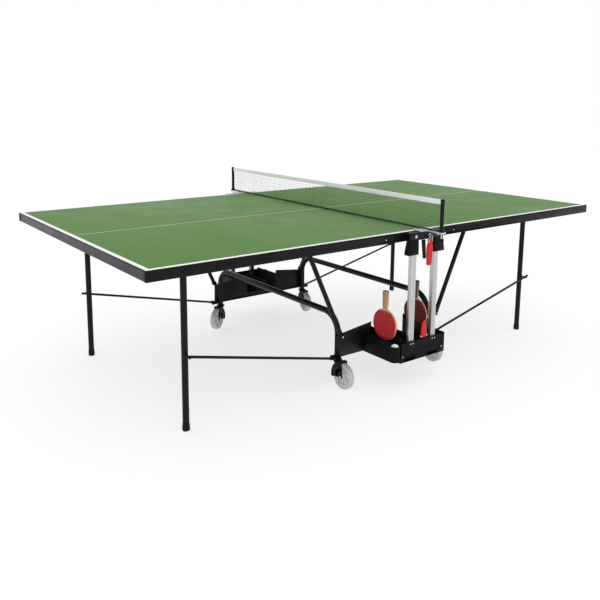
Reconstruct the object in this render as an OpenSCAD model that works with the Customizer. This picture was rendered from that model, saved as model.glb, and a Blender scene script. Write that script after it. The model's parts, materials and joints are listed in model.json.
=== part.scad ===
// Ping pong table, folding and rollaway, in the playing position.
// Millimetres. +Z up, +X along the table, +Y across it. The origin is on the
// floor under the table's centre. "left" is -X, "near" is -Y.
// Each half turns 90 degrees about an axle that slides down the guide posts.

/* [Table top] */
// Length of the playing surface
table_length = 2740; // [2700:10:2780]
// Width of the playing surface
table_width = 1525; // [1500:5:1550]
// Height of the playing surface
table_height = 760; // [750:1:765]
// Thickness of the board
board_thick = 6; // [4:1:8]
// Depth of the steel rails under the board
rail_depth = 38; // [34:1:40]
// Width of a rail across its section
rail_width = 18; // [16:1:20]
// Wall of the rail profile
rail_wall = 1.5; // [1:0.5:2]
// Gap between the two halves
half_gap = 6; // [5:1:8]

/* [Legs and braces] */
// Distance of a leg from the middle, along X
leg_x = 1106; // [1080:1:1130]
// Distance of a leg from the middle, along Y
leg_y = 528; // [520:1:530]
// Outside diameter of a leg
leg_d = 28; // [25:1:28]
// Depth of the leg's pivot below the playing surface
leg_pivot_drop = 32; // [31:1:34]
// Distance from the leg's pivot down to its brace
brace_drop = 400; // [396:1:404]
// Diameter of a brace rod
brace_d = 12; // [10:1:12]
// Distance of the braces from the middle, along Y
brace_y = 565; // [565:1:566]

/* [Links] */
// Distance of a link's upper pin from the middle, along X
link_x = 543; // [530:1:560]
// Depth of the upper pin below the playing surface
link_drop = 30; // [28:1:32]
// Height of a link's lower pivot
link_foot_z = 260; // [255:1:262]
// Distance of the links from the middle, along Y
link_y = 584; // [584:1:586]
// Outside diameter of a link
link_d = 22; // [18:1:22]

/* [Chassis] */
// Distance of the arch tubes from the middle, along X
arch_x = 305; // [300:1:310]
// Distance of an arch tube's uprights from the middle, along Y
arch_y = 540; // [536:1:540]
// Outside diameter of the arch tubes
arch_d = 30; // [28:1:30]
// Height of the arch tubes' level run
arch_top = 350; // [340:1:360]
// Radius of the arch tubes' bends
arch_bend = 95; // [80:1:110]
// Height of the side panels' lower edge
panel_low = 147; // [145:1:150]
// Height of the side panels' outer corners
panel_high = 258; // [252:1:264]

/* [Holder] */
// Half the length of the bat and ball holder
holder_x = 160; // [155:1:165]
// Height of the holder's outer walls
holder_high = 243; // [240:1:250]
// Inside diameter of the ball tubes
ball_tube_d = 44; // [42:1:46]
// Diameter of a ball
ball_d = 40; // [40:1:40]

/* [Guide posts and glides] */
// Distance of a guide post from the middle, along X
post_x = 72; // [72:1:74]
// Distance of a guide post from the middle, along Y
post_y = 781; // [781:1:783]
// Depth of the glide axle below the playing surface
axle_drop = 20; // [20:1:22]
// Travel of the glides down the posts
glide_travel = 490; // [484:1:492]
// Diameter of the glide axles
axle_d = 20; // [16:1:20]

/* [Casters] */
// Diameter of a wheel
wheel_d = 125; // [120:1:125]
// Width of a wheel
wheel_w = 28; // [24:1:28]
// Offset of a wheel behind its swivel
caster_trail = 48; // [45:1:50]
// Turn of the left far caster from straight
left_caster_turn = 58; // [50:1:65]
// Turn of the right far caster from straight
right_caster_turn = 10; // [0:1:20]

/* [Net] */
// Height of the net above the playing surface
net_height = 152.5; // [152.5:0.5:152.5]
// Distance of the net posts from the middle, along Y
net_post_y = 882; // [880:1:915]
// Diameter of a net post
net_post_d = 17; // [16:1:20]

/* [Hidden] */

$fn = 48;
run_gap = 0.05;
under_board = table_height - board_thick;
rail_low = under_board - rail_depth;
half_x = table_length / 2;
half_y = table_width / 2;
axle_z = table_height - axle_drop;
axle_end = half_y + 1;
leg_pivot_z = table_height - leg_pivot_drop;
brace_z = leg_pivot_z - brace_drop;
link_z = table_height - link_drop;

// Where the link's upper pin is once a half is stored.
link_run = link_x - post_x;
link_stored = [-post_x - (link_drop - axle_drop), axle_z - glide_travel + link_run];

// The link's lower pivot is as far from the upper pin at rest as when stored.
link_foot_x = (link_x * link_x + link_z * link_z
  - link_stored.x * link_stored.x - link_stored.y * link_stored.y
  - 2 * link_foot_z * (link_z - link_stored.y)) / (2 * (link_x + link_stored.x));

// The brace's foot is as far from its leg joint at rest as when stored.
brace_foot_z = 151;
brace_stored = [
  post_x + leg_pivot_drop - axle_drop,
  axle_z - glide_travel + leg_x - post_x - brace_drop
];
brace_foot_x = (leg_x * leg_x + brace_z * brace_z
  - brace_stored.x * brace_stored.x - brace_stored.y * brace_stored.y
  - 2 * brace_foot_z * (brace_z - brace_stored.y)) / (2 * (leg_x - brace_stored.x));

pin_r = 4;
eye_r = 13;
tube_wall = 2;
ear_thick = 4;

// Pressed steel and moulded walls.
panel_thick = 3;
panel_half = arch_x + arch_d / 2 + 16;
panel_back = arch_y + arch_d / 2 + 0.2;
flange_half = arch_x - arch_d / 2 - 0.2;
panel_peak = 285;
channel_x = 108;
channel_floor = 174;
wall_thick = 3;
mid_wall_x = 36;
bat_wall_x = 109;
mid_wall_high = 225;
bat_wall_high = 262;
shelf_z = 232;
holder_back = panel_back + panel_thick + 0.2;
holder_front = 788;
wall_front = 768;
tube_x = 160;
tube_y = 773;
tube_low = 160;
tube_high = 235;

// Guide post profile.
post_w = 30;
post_t = 20;
post_wall = 2.5;
post_slot = 9;
post_face = post_y - post_t / 2;
post_front = post_y + post_t / 2;

bridge_low = 722;
bridge_high = 758;
bridge_x = 110;
bridge_front = 797;
plate_x = 140;
plate_low = 170;
plate_high = 243;
plate_thick = 4.5;
post_low = plate_low + 2;

// Casters and levers.
axle_height = wheel_d / 2;
hood_top = 134;
lever_x = 14;
lever_pin_d = 6;
clevis_thick = 2.5;
upper_pivot = [-803, 715];
lower_pivot = [-787, 252];
bat_one_at = [-135, -679];
bat_two_at = [121, -630];
blade_r = 75;

// A bar or bore lying along Y, from y = a to y = b.
module along_y(d, a, b) {
  translate([0, a, 0]) rotate([-90, 0, 0]) cylinder(d = d, h = b - a);
}

// A bar or bore lying along X, centred.
module along_x(d, length) {
  rotate([0, 90, 0]) cylinder(d = d, h = length, center = true);
}

// An open pipe standing on its end.
module pipe(d, wall, length) {
  difference() {
    cylinder(d = d, h = length);
    translate([0, 0, -1]) cylinder(d = d - 2 * wall, h = length + 2);
  }
}

// A flat shape in x and z, given a thickness from y = a to y = b.
module slab_y(a, b) {
  translate([0, b, 0]) rotate([90, 0, 0]) linear_extrude(b - a) children();
}

// Both sides of the table, near and far.
module both_sides() {
  children();
  mirror([0, 1, 0]) children();
}

// The holders are one moulding, used twice, turned round for the far side.
module both_ends_round() {
  children();
  rotate([0, 0, 180]) children();
}

// ---- One half of the table top, drawn for the left ----

module board() {
  color("green")
    translate([-half_x, -half_y, under_board])
      cube([half_x - half_gap / 2, table_width, board_thick]);
}

// A closed rail profile along X with its bore for the axle.
module side_rail() {
  length = half_x - half_gap / 2;
  difference() {
    translate([-half_x, -half_y, rail_low]) cube([length, rail_width, rail_depth]);
    translate([-half_x - 1, -half_y + rail_wall, rail_low + rail_wall])
      cube([length + 2, rail_width - 2 * rail_wall, rail_depth - 2 * rail_wall]);
    translate([-post_x, 0, axle_z])
      along_y(axle_d + 2 * run_gap, -half_y - 1, -half_y + rail_width + 1);
  }
}

module side_rails() {
  color("black") both_sides() side_rail();
}

// A closed rail profile across the table, with its outer face at x.
module end_rail(x) {
  inner = half_y - rail_width;
  difference() {
    translate([x, -inner, rail_low]) cube([rail_width, 2 * inner, rail_depth]);
    translate([x + rail_wall, -inner - 1, rail_low + rail_wall])
      cube([rail_width - 2 * rail_wall, 2 * inner + 2, rail_depth - 2 * rail_wall]);
  }
}

module end_rails() {
  color("black") {
    end_rail(-half_x);
    end_rail(-half_gap / 2 - rail_width);
  }
}

// Shallow pressed channels that stiffen the board between the side rails.
module ribs() {
  rib_w = 30;
  rib_h = 11;
  length = table_width - 2 * rail_width;
  color("dimgray")
    for (x = [-250, -480, -850, -1240])
      translate([x - rib_w / 2, -length / 2, under_board - rib_h]) difference() {
        cube([rib_w, length, rib_h]);
        translate([rail_wall, -1, rail_wall]) cube([rib_w - 2 * rail_wall, length + 2, rib_h]);
      }
}

// Two ears that carry a leg's pivot tube.
module leg_ears() {
  ear_w = 40;
  for (y = [-leg_y - leg_d / 2 - 8, -leg_y + leg_d / 2 + 4])
    difference() {
      translate([-leg_x - ear_w / 2, y, leg_pivot_z - 16])
        cube([ear_w, ear_thick, under_board - leg_pivot_z + 16]);
      translate([-leg_x, 0, leg_pivot_z])
        along_y(axle_d + 2 * run_gap, y - 1, y + ear_thick + 1);
    }
}

// One ear outside the link, with the pin that the link turns on.
module link_ear() {
  ear_w = 44;
  ear_y = -link_y - link_d / 2 - 1;
  translate([-link_x - ear_w / 2, ear_y - ear_thick, link_z - 14])
    cube([ear_w, ear_thick, under_board - link_z + 14]);
  translate([-link_x, 0, link_z]) {
    along_y(2 * pin_r, ear_y - 0.1, -link_y + link_d / 2 + 0.5);
    along_y(14, -link_y + link_d / 2 + 0.5, -link_y + link_d / 2 + 3);
  }
}

module brackets() {
  color("black") both_sides() {
    leg_ears();
    link_ear();
  }
}

// ---- Leg frame: two legs on one pivot tube ----

module leg() {
  translate([-leg_x, -leg_y, 6]) pipe(leg_d, tube_wall, leg_pivot_z - 18);
  translate([-leg_x, -leg_y, leg_pivot_z - 12]) cylinder(d = leg_d, h = 24);
}

module leg_frame() {
  tube_end = leg_y + 26;
  color("black") difference() {
    union() {
      both_sides() leg();
      translate([-leg_x, 0, leg_pivot_z]) along_y(axle_d, -tube_end, tube_end);
    }
    translate([-leg_x, 0, leg_pivot_z]) along_y(axle_d - 2 * tube_wall, -tube_end - 1, tube_end + 1);
  }
}

module foot_caps() {
  cap_d = leg_d + 7;
  color("black") both_sides()
    translate([-leg_x, -leg_y, 0]) difference() {
      union() {
        cylinder(d = cap_d, h = 24);
        translate([0, 0, 24]) cylinder(d1 = cap_d, d2 = leg_d + 3, h = 8);
      }
      translate([0, 0, 6]) cylinder(d = leg_d + 0.2, h = 40);
    }
}

// ---- Axle and glides of one half ----

module half_axle() {
  color("silver") translate([-post_x, 0, axle_z]) difference() {
    along_y(axle_d, -axle_end, axle_end);
    along_y(axle_d - 2 * tube_wall, -axle_end - 1, axle_end + 1);
  }
}

// A block between the rail and the post, with a tongue in the post's slot.
module glide() {
  block_t = post_face - 0.5 - axle_end;
  block_w = 30;
  block_high = 66;
  shoe = [18, 12, 26];
  neck_w = 6;
  shoe_z = axle_z - 48;
  translate([-post_x - block_w / 2, -axle_end - block_t, axle_z - 52])
    cube([block_w, block_t, block_high]);
  translate([-post_x - neck_w / 2, -post_face - post_wall - 2, shoe_z])
    cube([neck_w, post_wall + 3, shoe.z]);
  translate([-post_x - shoe.x / 2, -post_face - post_wall - 1 - shoe.y, shoe_z])
    cube(shoe);
}

module glides() {
  color("black") both_sides() glide();
}

// ---- Link and brace, drawn for the left near side ----

module link() {
  rise = link_z - link_foot_z;
  run = link_x - link_foot_x;
  length = norm([rise, run]);
  tilt = atan2(-run, rise);
  half_eye = link_d / 2 - 2;
  color("black") translate([-link_foot_x, -link_y, link_foot_z]) {
    rotate([0, tilt, 0]) translate([0, 0, eye_r - 3]) cylinder(d = link_d, h = length - 2 * eye_r + 6);
    along_y(2 * eye_r, -half_eye, half_eye);
    translate([-run, 0, rise]) difference() {
      along_y(2 * eye_r, -half_eye, half_eye);
      along_y(2 * pin_r + 2 * run_gap, -link_d, link_d);
    }
    along_y(14, -half_eye - 5, link_d / 2);
  }
}

module brace() {
  rise = brace_z - brace_foot_z;
  run = leg_x - brace_foot_x;
  length = norm([rise, run]);
  tilt = atan2(-run, rise);
  past_leg = 25;
  color("black") translate([-brace_foot_x, -brace_y, brace_foot_z]) {
    rotate([0, tilt, 0]) translate([0, 0, 6]) cylinder(d = brace_d, h = length + past_leg - 6);
    difference() {
      along_y(20, -brace_d / 2 + 1.5, brace_d / 2 - 1.5);
      along_y(2 * pin_r + 2 * run_gap, -brace_d, brace_d);
    }
    translate([-run, 0, rise]) {
      along_y(8, -brace_d / 2 - 3, brace_y - leg_y - leg_d / 2 - 0.5);
      along_y(14, -brace_d / 2 - 4, -brace_d / 2 - 1);
    }
  }
}

// ---- Chassis ----

// An inverted U across the table: a level run, two bends and two uprights.
module arch_path(d, foot) {
  bend_z = arch_top - arch_bend;
  run = arch_y - arch_bend;
  translate([-arch_x, 0, arch_top]) along_y(d, -run, run);
  both_sides() {
    translate([-arch_x, -arch_y, foot]) cylinder(d = d, h = bend_z - foot);
    translate([-arch_x, -run, bend_z]) rotate([90, 0, 90]) rotate([0, 0, 90])
      rotate_extrude(angle = 90) translate([arch_bend, 0]) circle(d = d);
  }
}

module arch_tube() {
  foot = panel_low - 7;
  color("black") difference() {
    arch_path(arch_d, foot);
    arch_path(arch_d - 2 * tube_wall, foot - 1);
  }
}

// A flanged plate outside the arch tubes, cut away where the halves come down.
module side_panel() {
  color("black") {
    slab_y(-panel_back - panel_thick, -panel_back)
      polygon([
        [-panel_half, panel_low], [panel_half, panel_low], [panel_half, panel_high],
        [channel_x, panel_peak], [channel_x, channel_floor],
        [-channel_x, channel_floor], [-channel_x, panel_peak], [-panel_half, panel_high]
      ]);
    translate([-flange_half, -panel_back - 0.1, panel_low])
      cube([2 * flange_half, 11, panel_thick]);
  }
}

// A block on each arch foot, behind the side panel, with the brace's pin.
module pivot_gusset() {
  block = [62, 10, 21];
  past_pin = 9;
  color("black") {
    difference() {
      translate([-brace_foot_x - past_pin, -panel_back + 0.1, brace_foot_z - 10]) cube(block);
      translate([-arch_x, -arch_y, 130]) cylinder(d = arch_d + 0.2, h = 60);
    }
    translate([-brace_foot_x, 0, brace_foot_z]) {
      along_y(2 * pin_r, -brace_y - brace_d / 2 - 1, -panel_back + 0.2);
      along_y(14, -brace_y - brace_d / 2 - 1.9, -brace_y - brace_d / 2 - 0.4);
    }
  }
}

module pivot_gussets() {
  both_sides() {
    pivot_gusset();
    mirror([1, 0, 0]) pivot_gusset();
  }
}

// A wall of the holder, standing across X.
module holder_wall(x, back, front, low, high) {
  translate([x, -front, low]) cube([wall_thick, front - back, high - low]);
}

// Middle tray, bat pockets and the open channels that take the halves.
module holder() {
  deep = holder_front - holder_back;
  front_high = plate_high - 4;
  tray = 2 * mid_wall_x + 2 * wall_thick;
  pocket = holder_x - bat_wall_x;
  color("#1a1a1c") difference() {
    union() {
      translate([-holder_x, -holder_front, panel_low])
        cube([2 * holder_x, deep, wall_thick]);
      for (x = [-holder_x, holder_x - wall_thick])
        holder_wall(x, holder_back, holder_front, panel_low, holder_high);
      for (x = [-bat_wall_x - wall_thick, bat_wall_x])
        holder_wall(x, holder_back, wall_front, panel_low, bat_wall_high);
      for (x = [-mid_wall_x - wall_thick, mid_wall_x])
        holder_wall(x, holder_back, wall_front, panel_low, mid_wall_high);
      for (x = [-holder_x, bat_wall_x]) {
        translate([x, -holder_back - wall_thick, panel_low])
          cube([pocket, wall_thick, holder_high - panel_low]);
        translate([x, -holder_front, panel_low])
          cube([pocket, wall_thick, front_high - panel_low]);
        translate([x, -holder_front, shelf_z - wall_thick])
          cube([pocket, deep, wall_thick]);
      }
      translate([-tray / 2, -holder_back - wall_thick, panel_low])
        cube([tray, wall_thick, mid_wall_high - panel_low]);
      translate([-tray / 2, -holder_front, panel_low])
        cube([tray, wall_thick, front_high - panel_low]);
    }
    translate([-tube_x, -tube_y, panel_low - 1]) cylinder(d = ball_tube_d + 6.2, h = 200);
  }
}

module front_plate() {
  corner = 8;
  color("#151515") slab_y(-post_front - plate_thick, -post_front)
    difference() {
      union() {
        translate([-plate_x, plate_low + corner])
          square([2 * plate_x, plate_high - plate_low - 2 * corner]);
        translate([-plate_x + corner, plate_low])
          square([2 * plate_x - 2 * corner, plate_high - plate_low]);
        for (x = [-plate_x + corner, plate_x - corner])
          for (z = [plate_low + corner, plate_high - corner])
            translate([x, z]) circle(r = corner);
      }
    }
}

module ball_tube() {
  color("#222224") translate([-tube_x, -tube_y, tube_low]) difference() {
    cylinder(d = ball_tube_d + 6, h = tube_high - tube_low);
    translate([0, 0, wall_thick]) cylinder(d = ball_tube_d, h = tube_high);
  }
}

// A C profile, its slot facing the table.
module guide_post() {
  color("silver") translate([post_x, -post_y, post_low]) linear_extrude(755 - post_low)
    difference() {
      square([post_w, post_t], center = true);
      square([post_w - 2 * post_wall, post_t - 2 * post_wall], center = true);
      translate([0, post_t / 2]) square([post_slot, 4 * post_wall], center = true);
    }
}

// A moulded block round the top of a post, wider outside and below.
module post_head() {
  color("#1c1c1e") difference() {
    slab_y(-800, -post_face - 0.2)
      polygon([[52, 655], [118, 655], [119, 668], [106, bridge_low - 0.2], [54, bridge_low - 0.2]]);
    translate([post_x - post_w / 2 - 0.2, -post_front - 0.2, 600])
      cube([post_w + 0.4, post_t + 1, 200]);
  }
}

module four_posts() {
  both_sides() {
    children();
    mirror([1, 0, 0]) children();
  }
}

// A folded steel channel over the two post tops of one side.
module head_bridge() {
  skin = 3;
  color("#242426") {
    translate([-bridge_x, -bridge_front, bridge_low])
      cube([2 * bridge_x, skin, bridge_high - bridge_low]);
    translate([-bridge_x, -bridge_front, bridge_high - skin])
      cube([2 * bridge_x, bridge_front - post_face - 1, skin]);
    for (x = [-bridge_x, bridge_x - skin])
      translate([x, -bridge_front, bridge_low])
        cube([skin, bridge_front - post_face - 1, bridge_high - bridge_low]);
  }
}

// Two ears and a pin for a lock lever. at holds y and z of the pin.
module lever_clevis(at, ear_x, back, front, low, high) {
  for (x = [lever_x - ear_x - clevis_thick, lever_x + ear_x])
    translate([x, front, low]) cube([clevis_thick, back - front, high - low]);
  translate([lever_x, at.x, at.y]) along_x(lever_pin_d, 2 * (ear_x + clevis_thick));
}

module lever_clevises() {
  color("gainsboro") {
    lever_clevis(upper_pivot, ear_x = 10, back = -bridge_front, front = -809,
      low = 706, high = 738);
    lever_clevis(lower_pivot, ear_x = 21, back = -holder_front + 6, front = -holder_front,
      low = plate_high - 4, high = 260);
  }
}

// A grip that widens from the narrow end to the wide end.
module lever_grip(at, narrow_z, wide_z, narrow_w, wide_w, thick) {
  color("red") difference() {
    translate([0, at.x, 0]) slab_y(-thick / 2, thick / 2) {
      polygon([
        [lever_x - narrow_w / 2, narrow_z], [lever_x + narrow_w / 2, narrow_z],
        [lever_x + wide_w / 2, wide_z], [lever_x - wide_w / 2, wide_z]
      ]);
    }
    translate([lever_x, at.x, at.y]) along_x(lever_pin_d + 2 * run_gap, 60);
  }
}

module upper_lever() {
  lever_grip(upper_pivot, narrow_z = 722, wide_z = 597, narrow_w = 14, wide_w = 40, thick = 10);
}

module lower_lever() {
  lever_grip(lower_pivot, narrow_z = 326, wide_z = 245.5, narrow_w = 16, wide_w = 38, thick = 8);
}

// ---- Net set ----

module net_bracket() {
  color("silver") {
    translate([-45, -bridge_front, bridge_high]) cube([90, bridge_front - post_face - 1, 3]);
    translate([-45, -bridge_front, bridge_high + 3]) cube([90, bridge_front - half_y + 18, 2.5]);
    translate([-14, -net_post_y - 14, bridge_high]) cube([28, net_post_y + 14 - bridge_front, 7]);
  }
}

module net_post() {
  foot = bridge_high + 7;
  color("black") translate([0, -net_post_y, foot]) {
    cylinder(d = net_post_d, h = table_height + net_height + 2.5 - foot);
    cylinder(d = net_post_d + 8, h = 10);
  }
}

net_half = net_post_y - net_post_d / 2 - 4.5;
tape_half = net_post_y - net_post_d / 2 - 1;
tape_high = 22;
net_low = table_height + 5.5;
net_top = table_height + net_height;
net_thick = 1.6;
tape_thick = 3.2;

module net() {
  color("white") translate([-net_thick / 2, -net_half, net_low])
    cube([net_thick, 2 * net_half, net_top - tape_high - net_low]);
}

module net_tape() {
  color("white") translate([-tape_thick / 2, -tape_half, net_top - tape_high])
    cube([tape_thick, 2 * tape_half, tape_high]);
}

// ---- Fasteners of the chassis: panel bolts, plate screws and bridge bolts ----

// A screw head lying along Y, standing out towards the near side.
module head_at(x, y, z, d, out) {
  translate([x, 0, z]) along_y(d, y - out, y);
}

module fasteners() {
  color("silver") {
    both_sides() {
      for (x = [-plate_x + 10, plate_x - 10])
        head_at(x, -post_front - plate_thick, plate_low + 10, d = 7, out = 1.5);
      for (x = [-post_x - 8, -post_x + 8, post_x - 8, post_x + 8])
        head_at(x, -post_front - plate_thick, plate_high - 10, d = 7, out = 1.5);
      for (x = [-post_x, post_x])
        head_at(x, -bridge_front, axle_z, d = 16, out = 3);
      for (x = [-arch_x + 13, arch_x - 13])
        head_at(x, -panel_back - panel_thick, panel_high - 23, d = 10, out = 1);
    }
  }
}

// ---- Casters: the near wheels trail straight, the far ones are turned ----

module fork() {
  cheek_x = wheel_w / 2 + 2;
  color("black") {
    translate([0, 0, hood_top]) cylinder(d = 22, h = panel_low - 7 - hood_top);
    translate([0, 0, hood_top - 7]) cylinder(d = 46, h = 7);
    translate([-cheek_x - 3, -caster_trail - 26, hood_top - 6])
      cube([2 * cheek_x + 6, caster_trail + 26, 6]);
    for (x = [-cheek_x - 3, cheek_x])
      translate([x, 0, 0]) rotate([90, 0, 90]) linear_extrude(3) {
        translate([-caster_trail, axle_height]) circle(r = 13);
        polygon([
          [-caster_trail - 13, axle_height], [-caster_trail + 13, axle_height],
          [8, hood_top - 26], [8, hood_top - 6],
          [-caster_trail - 26, hood_top - 6], [-caster_trail - 26, hood_top - 26]
        ]);
      }
    translate([0, -caster_trail, axle_height]) along_x(8, 2 * cheek_x + 12);
  }
}

module wheel() {
  hub_d = 34;
  web_w = 7;
  tread = 12;
  round_r = 4;
  color("gainsboro") translate([0, -caster_trail, axle_height]) rotate([0, 90, 0])
    rotate_extrude() difference() {
      union() {
        translate([0, -wheel_w / 2 - 1]) square([hub_d / 2, wheel_w + 2]);
        translate([0, -web_w / 2]) square([wheel_d / 2 - tread, web_w]);
        translate([wheel_d / 2 - tread, -wheel_w / 2]) square([tread - round_r, wheel_w]);
        translate([wheel_d / 2 - tread, -wheel_w / 2 + round_r])
          square([tread, wheel_w - 2 * round_r]);
        for (z = [-1, 1])
          translate([wheel_d / 2 - round_r, z * (wheel_w / 2 - round_r)]) circle(r = round_r);
      }
      translate([-1, -wheel_w]) square([1 + pin_r + run_gap, 2 * wheel_w]);
    }
}

module caster_at(sx, sy) {
  far_turn = sx < 0 ? left_caster_turn : right_caster_turn;
  turned = sy > 0 ? -far_turn : 0;
  translate([sx * arch_x, sy * arch_y, 0]) rotate([0, 0, turned]) children();
}

// ---- Bats and balls ----

// A bat standing blade down in its slot, its face across X.
module bat(at) {
  blade_z = shelf_z + blade_r + 1;
  handle_low = blade_z + blade_r - 8;
  handle_long = 95;
  translate([at.x, at.y, 0]) {
    color("firebrick") translate([0, 0, blade_z]) along_x(2 * blade_r, 11);
    color("tan") translate([-11, -13, handle_low]) cube([22, 26, handle_long]);
  }
}

module balls() {
  color("white") for (i = [0:1])
    translate([-tube_x, -tube_y, tube_low + wall_thick + ball_d * (i + 0.5)]) sphere(d = ball_d);
}

module right() {
  mirror([1, 0, 0]) children();
}

module far() {
  mirror([0, 1, 0]) children();
}

board();  // left_board
right() board();  // right_board
side_rails();  // left_side_rails
right() side_rails();  // right_side_rails
end_rails();  // left_end_rails
right() end_rails();  // right_end_rails
ribs();  // left_ribs
right() ribs();  // right_ribs
brackets();  // left_brackets
right() brackets();  // right_brackets
leg_frame();  // left_leg_frame
right() leg_frame();  // right_leg_frame
foot_caps();  // left_foot_caps
right() foot_caps();  // right_foot_caps
half_axle();  // left_axle
right() half_axle();  // right_axle
glides();  // left_glides
right() glides();  // right_glides
link();  // left_near_link
far() link();  // left_far_link
right() link();  // right_near_link
right() far() link();  // right_far_link
brace();  // left_near_brace
far() brace();  // left_far_brace
right() brace();  // right_near_brace
right() far() brace();  // right_far_brace
arch_tube();  // left_arch_tube
right() arch_tube();  // right_arch_tube
side_panel();  // near_side_panel
far() side_panel();  // far_side_panel
pivot_gussets();
holder();  // near_holder
rotate([0, 0, 180]) holder();  // far_holder
front_plate();  // near_front_plate
far() front_plate();  // far_front_plate
both_ends_round() ball_tube();  // ball_tubes
four_posts() guide_post();  // guide_posts
four_posts() post_head();  // post_heads
both_sides() head_bridge();  // head_bridges
lever_clevises();
upper_lever();
lower_lever();
both_sides() net_bracket();  // net_brackets
both_sides() net_post();  // net_posts
net();
net_tape();
fasteners();
caster_at(-1, -1) fork();  // left_near_fork
caster_at(-1, 1) fork();  // left_far_fork
caster_at(1, -1) fork();  // right_near_fork
caster_at(1, 1) fork();  // right_far_fork
caster_at(-1, -1) wheel();  // left_near_wheel
caster_at(-1, 1) wheel();  // left_far_wheel
caster_at(1, -1) wheel();  // right_near_wheel
caster_at(1, 1) wheel();  // right_far_wheel
bat(bat_one_at);  // bat_one
bat(bat_two_at);  // bat_two
balls();
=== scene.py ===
"""Looks of the folding ping pong table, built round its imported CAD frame.

Lengths are in metres in the CAD frame: +X along the table, +Y across it to the
far side, +Z up, with the origin on the floor under the table's centre.
"""

import json
import math

import bmesh
import bpy
from mathutils import Matrix, Vector


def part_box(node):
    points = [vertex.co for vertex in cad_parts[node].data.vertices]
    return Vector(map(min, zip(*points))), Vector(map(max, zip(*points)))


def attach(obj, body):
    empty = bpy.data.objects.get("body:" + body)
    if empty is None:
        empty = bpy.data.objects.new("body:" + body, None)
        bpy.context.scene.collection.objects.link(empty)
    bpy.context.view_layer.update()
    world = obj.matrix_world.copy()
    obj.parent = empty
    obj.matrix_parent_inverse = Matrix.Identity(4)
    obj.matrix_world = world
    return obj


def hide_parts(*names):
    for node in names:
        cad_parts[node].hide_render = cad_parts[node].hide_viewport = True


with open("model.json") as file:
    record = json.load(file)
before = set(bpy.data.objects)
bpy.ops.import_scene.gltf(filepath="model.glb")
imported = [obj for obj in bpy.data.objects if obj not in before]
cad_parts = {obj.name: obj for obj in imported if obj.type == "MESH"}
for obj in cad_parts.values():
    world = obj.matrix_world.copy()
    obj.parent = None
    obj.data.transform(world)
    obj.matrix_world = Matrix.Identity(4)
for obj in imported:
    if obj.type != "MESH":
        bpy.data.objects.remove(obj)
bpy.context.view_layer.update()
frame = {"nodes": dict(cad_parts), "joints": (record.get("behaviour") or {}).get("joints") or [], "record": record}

MM = 0.001
TINY = 1e-6
SIDES = (("left", -1), ("right", 1))
ENDS = (("near", -1), ("far", 1))
SLOT_OF = {s["node"]: s["material_slot"] for s in frame["record"]["subparts"]}
JOINT = {j["name"]: j for j in frame["joints"]}


# ---- Camera, floor and lights -------------------------------------------------

CAMERA_AT = Vector((-2.367, -2.953, 1.350))
# The camera's heading from +Y, its tilt below level and its roll, in radians.
CAMERA_TURN = 0.6436
CAMERA_DOWN = 0.169
CAMERA_ROLL = 0.0075
# Sensor and lens in millimetres, shift as a share of the sensor, and furthest view.
CAMERA_SENSOR = 36
CAMERA_LENS = 42.0
CAMERA_SHIFT = (0.0065, -0.1365)
CAMERA_REACH = 80

FLOOR_REACH = 30
FLOOR_GREY = 0.33
FLOOR_GLOW = 0.69
# Each lamp's name, place, aim, size and power in watts.
LAMPS = (
    ("key", (-2.5, -3.5, 4.0), (0, 0, 0.5), (3, 3), 40),
    ("fill", (4.0, -3.0, 2.5), (0.5, 0, 0.6), (3, 3), 12),
    ("back", (0, 4.5, 3.5), (0, 0, 0.7), (4, 2), 20),
)


def make_camera():
    """A camera at the photograph's viewing angle."""
    level = Vector((math.sin(CAMERA_TURN), math.cos(CAMERA_TURN), 0))
    ahead = level * math.cos(CAMERA_DOWN) - Vector((0, 0, math.sin(CAMERA_DOWN)))
    right = ahead.cross(Vector((0, 0, 1))).normalized()
    up = right.cross(ahead)
    right_rolled = right * math.cos(CAMERA_ROLL) + up * math.sin(CAMERA_ROLL)
    up_rolled = up * math.cos(CAMERA_ROLL) - right * math.sin(CAMERA_ROLL)
    data = bpy.data.cameras.new("camera")
    data.sensor_width = CAMERA_SENSOR
    data.lens = CAMERA_LENS
    data.shift_x, data.shift_y = CAMERA_SHIFT
    data.clip_end = CAMERA_REACH
    camera = bpy.data.objects.new("camera", data)
    turn = Matrix((right_rolled, up_rolled, -ahead)).transposed().to_4x4()
    camera.matrix_world = Matrix.Translation(CAMERA_AT) @ turn
    bpy.context.scene.collection.objects.link(camera)
    bpy.context.scene.camera = camera


def make_lamp(name, at, aim, size, power):
    """A soft rectangular lamp."""
    data = bpy.data.lights.new(name, "AREA")
    data.shape = "RECTANGLE"
    data.size, data.size_y = size
    data.energy = power
    lamp = bpy.data.objects.new(name, data)
    lamp.location = at
    lamp.rotation_euler = (Vector(aim) - Vector(at)).to_track_quat("-Z", "Y").to_euler()
    bpy.context.scene.collection.objects.link(lamp)


def make_floor():
    """A plain pale floor that glows a little, so that it ends in the white sky."""
    mesh = bpy.data.meshes.new("floor")
    corners = [(-1, -1), (1, -1), (1, 1), (-1, 1)]
    places = [(x * FLOOR_REACH, y * FLOOR_REACH, 0) for x, y in corners]
    mesh.from_pydata(places, [], [(0, 1, 2, 3)])
    floor = bpy.data.objects.new("floor", mesh)
    bpy.context.scene.collection.objects.link(floor)
    pale = material("floor_pale", (FLOOR_GREY,) * 3, 1.0, Specular_IOR_Level=0.0)
    glow = pale.node_tree.nodes["Principled BSDF"].inputs
    glow["Emission Color"].default_value = (1, 1, 1, 1)
    glow["Emission Strength"].default_value = FLOOR_GLOW
    floor.data.materials.append(pale)


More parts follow.
